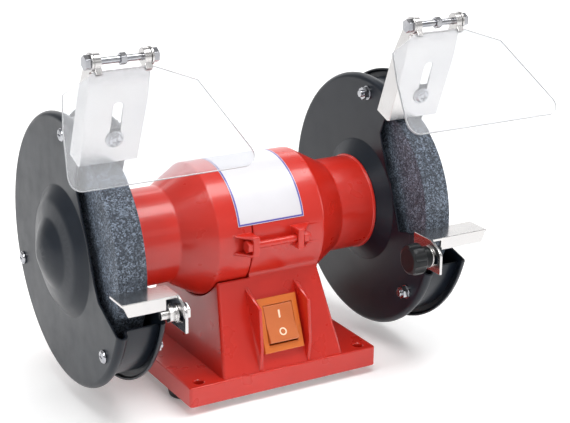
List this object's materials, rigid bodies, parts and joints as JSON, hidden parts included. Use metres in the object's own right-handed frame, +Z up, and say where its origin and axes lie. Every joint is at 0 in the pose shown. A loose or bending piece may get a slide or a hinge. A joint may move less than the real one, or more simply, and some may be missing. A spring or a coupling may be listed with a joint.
{
  "type": "bench grinder",
  "caption": "Bench grinder: red motor housing on a pedestal base, a guarded grinding wheel at each end of the shaft, tool rests and tilting clear eye shields.",
  "frame": {"origin": "centre of the base on the bench plane, midway between the bench bolts", "axes": "+X along the shaft to the right, +Y to the back, +Z up; the operator stands at -Y"},
  "size_m": [0.356, 0.2074, 0.2549],
  "materials": {
    "red_paint": "gloss red enamel on cast iron and aluminium",
    "black_paint": "satin charcoal black paint on pressed steel",
    "zinc": "bright zinc plate",
    "bright_steel": "ground steel",
    "core_steel": "stacked laminations",
    "copper_wire": "enamelled copper",
    "abrasive": "coarse grey abrasive grit",
    "foot_rubber": "matt black rubber",
    "black_plastic": "satin black plastic",
    "amber_plastic": "translucent amber",
    "white_plastic": "white plastic case",
    "ivory_plastic": "ivory plastic",
    "label_film": "white film, bare",
    "clear_plastic": "clear polycarbonate"
  },
  "bodies": {
    "base": {"base_casting": "red_paint", "left_end_bell": "red_paint", "tie_bolts": "red_paint", "rating_label": "label_film", "base_cover_plate": "zinc", "rubber_feet": "foot_rubber", "foot_screws": "zinc", "switch_bezel": "amber_plastic", "capacitor": "white_plastic", "capacitor_clip": "zinc", "terminal_block": "ivory_plastic", "cord_gland": "black_plastic", "stator_core": "core_steel", "stator_windings": "copper_wire", "left_bearing": "bright_steel", "right_bearing": "bright_steel", "wave_washer": "bright_steel", "left_outer_cover": "black_paint", "left_inner_guard": "black_paint", "right_outer_cover": "black_paint", "right_inner_guard": "black_paint", "left_guard_screws": "zinc", "right_guard_screws": "zinc", "left_guard_nuts": "zinc", "right_guard_nuts": "zinc", "left_mount_screws": "zinc", "right_mount_screws": "zinc", "left_rest_bolt": "zinc", "right_rest_bolt": "zinc", "left_rest_nut": "zinc", "left_bracket_screw": "zinc", "right_bracket_screw": "zinc"},
    "rotor": {"rotor_core": "core_steel", "rotor_shaft": "bright_steel", "left_inner_flange": "zinc", "right_inner_flange": "zinc", "left_outer_flange": "zinc", "right_outer_flange": "zinc", "left_wheel": "abrasive", "right_wheel": "abrasive", "left_arbor_nut": "zinc", "right_arbor_nut": "zinc"},
    "rocker": {"switch_rocker": "amber_plastic"},
    "right_knob": {"right_rest_knob": "black_plastic"},
    "left_rest": {"left_tool_rest": "zinc"},
    "left_bracket": {"left_shield_bracket": "zinc", "left_hinge_bolt": "zinc", "left_hinge_nuts": "zinc"},
    "left_shield": {"left_shield_clips": "zinc", "left_eye_shield": "clear_plastic"},
    "right_rest": {"right_tool_rest": "zinc"},
    "right_bracket": {"right_shield_bracket": "zinc", "right_hinge_bolt": "zinc", "right_hinge_nuts": "zinc"},
    "right_shield": {"right_shield_clips": "zinc", "right_eye_shield": "clear_plastic"}
  },
  "joints": [
    {"name": "rotor_spin", "type": "hinge", "parent": "base", "child": "rotor", "pos_m": [0, 0, 0.1085], "axis": [1, 0, 0], "continuous": true},
    {"name": "switch_press", "type": "hinge", "parent": "base", "child": "rocker", "pos_m": [0.0005, -0.05385, 0.04898], "axis": [1, 0, 0], "range_deg": [0, 12]},
    {"name": "right_knob_turn", "type": "hinge", "parent": "base", "child": "right_knob", "pos_m": [0.0865, -0.095, 0.0944], "axis": [1, 0, 0], "range_deg": [0, 720]},
    {"name": "left_bracket_slide", "type": "slide", "parent": "base", "child": "left_bracket", "axis": [0, -0.3305, 0.9438], "range_m": [-0.003, 0.003]},
    {"name": "left_shield_tilt", "type": "hinge", "parent": "left_bracket", "child": "left_shield", "pos_m": [-0.1145, -0.06134, 0.24893], "axis": [-1, 0, 0], "range_deg": [-20, 60]},
    {"name": "left_rest_slide", "type": "slide", "parent": "base", "child": "left_rest", "axis": [0, 1, 0], "range_m": [-0.006, 0.0015]},
    {"name": "right_bracket_slide", "type": "slide", "parent": "base", "child": "right_bracket", "axis": [0, -0.3305, 0.9438], "range_m": [-0.003, 0.003]},
    {"name": "right_shield_tilt", "type": "hinge", "parent": "right_bracket", "child": "right_shield", "pos_m": [0.1189, -0.06134, 0.24893], "axis": [-1, 0, 0], "range_deg": [-25, 55]},
    {"name": "right_rest_slide", "type": "slide", "parent": "base", "child": "right_rest", "axis": [0, 1, 0], "range_m": [-0.006, 0.0015]}
  ]
}
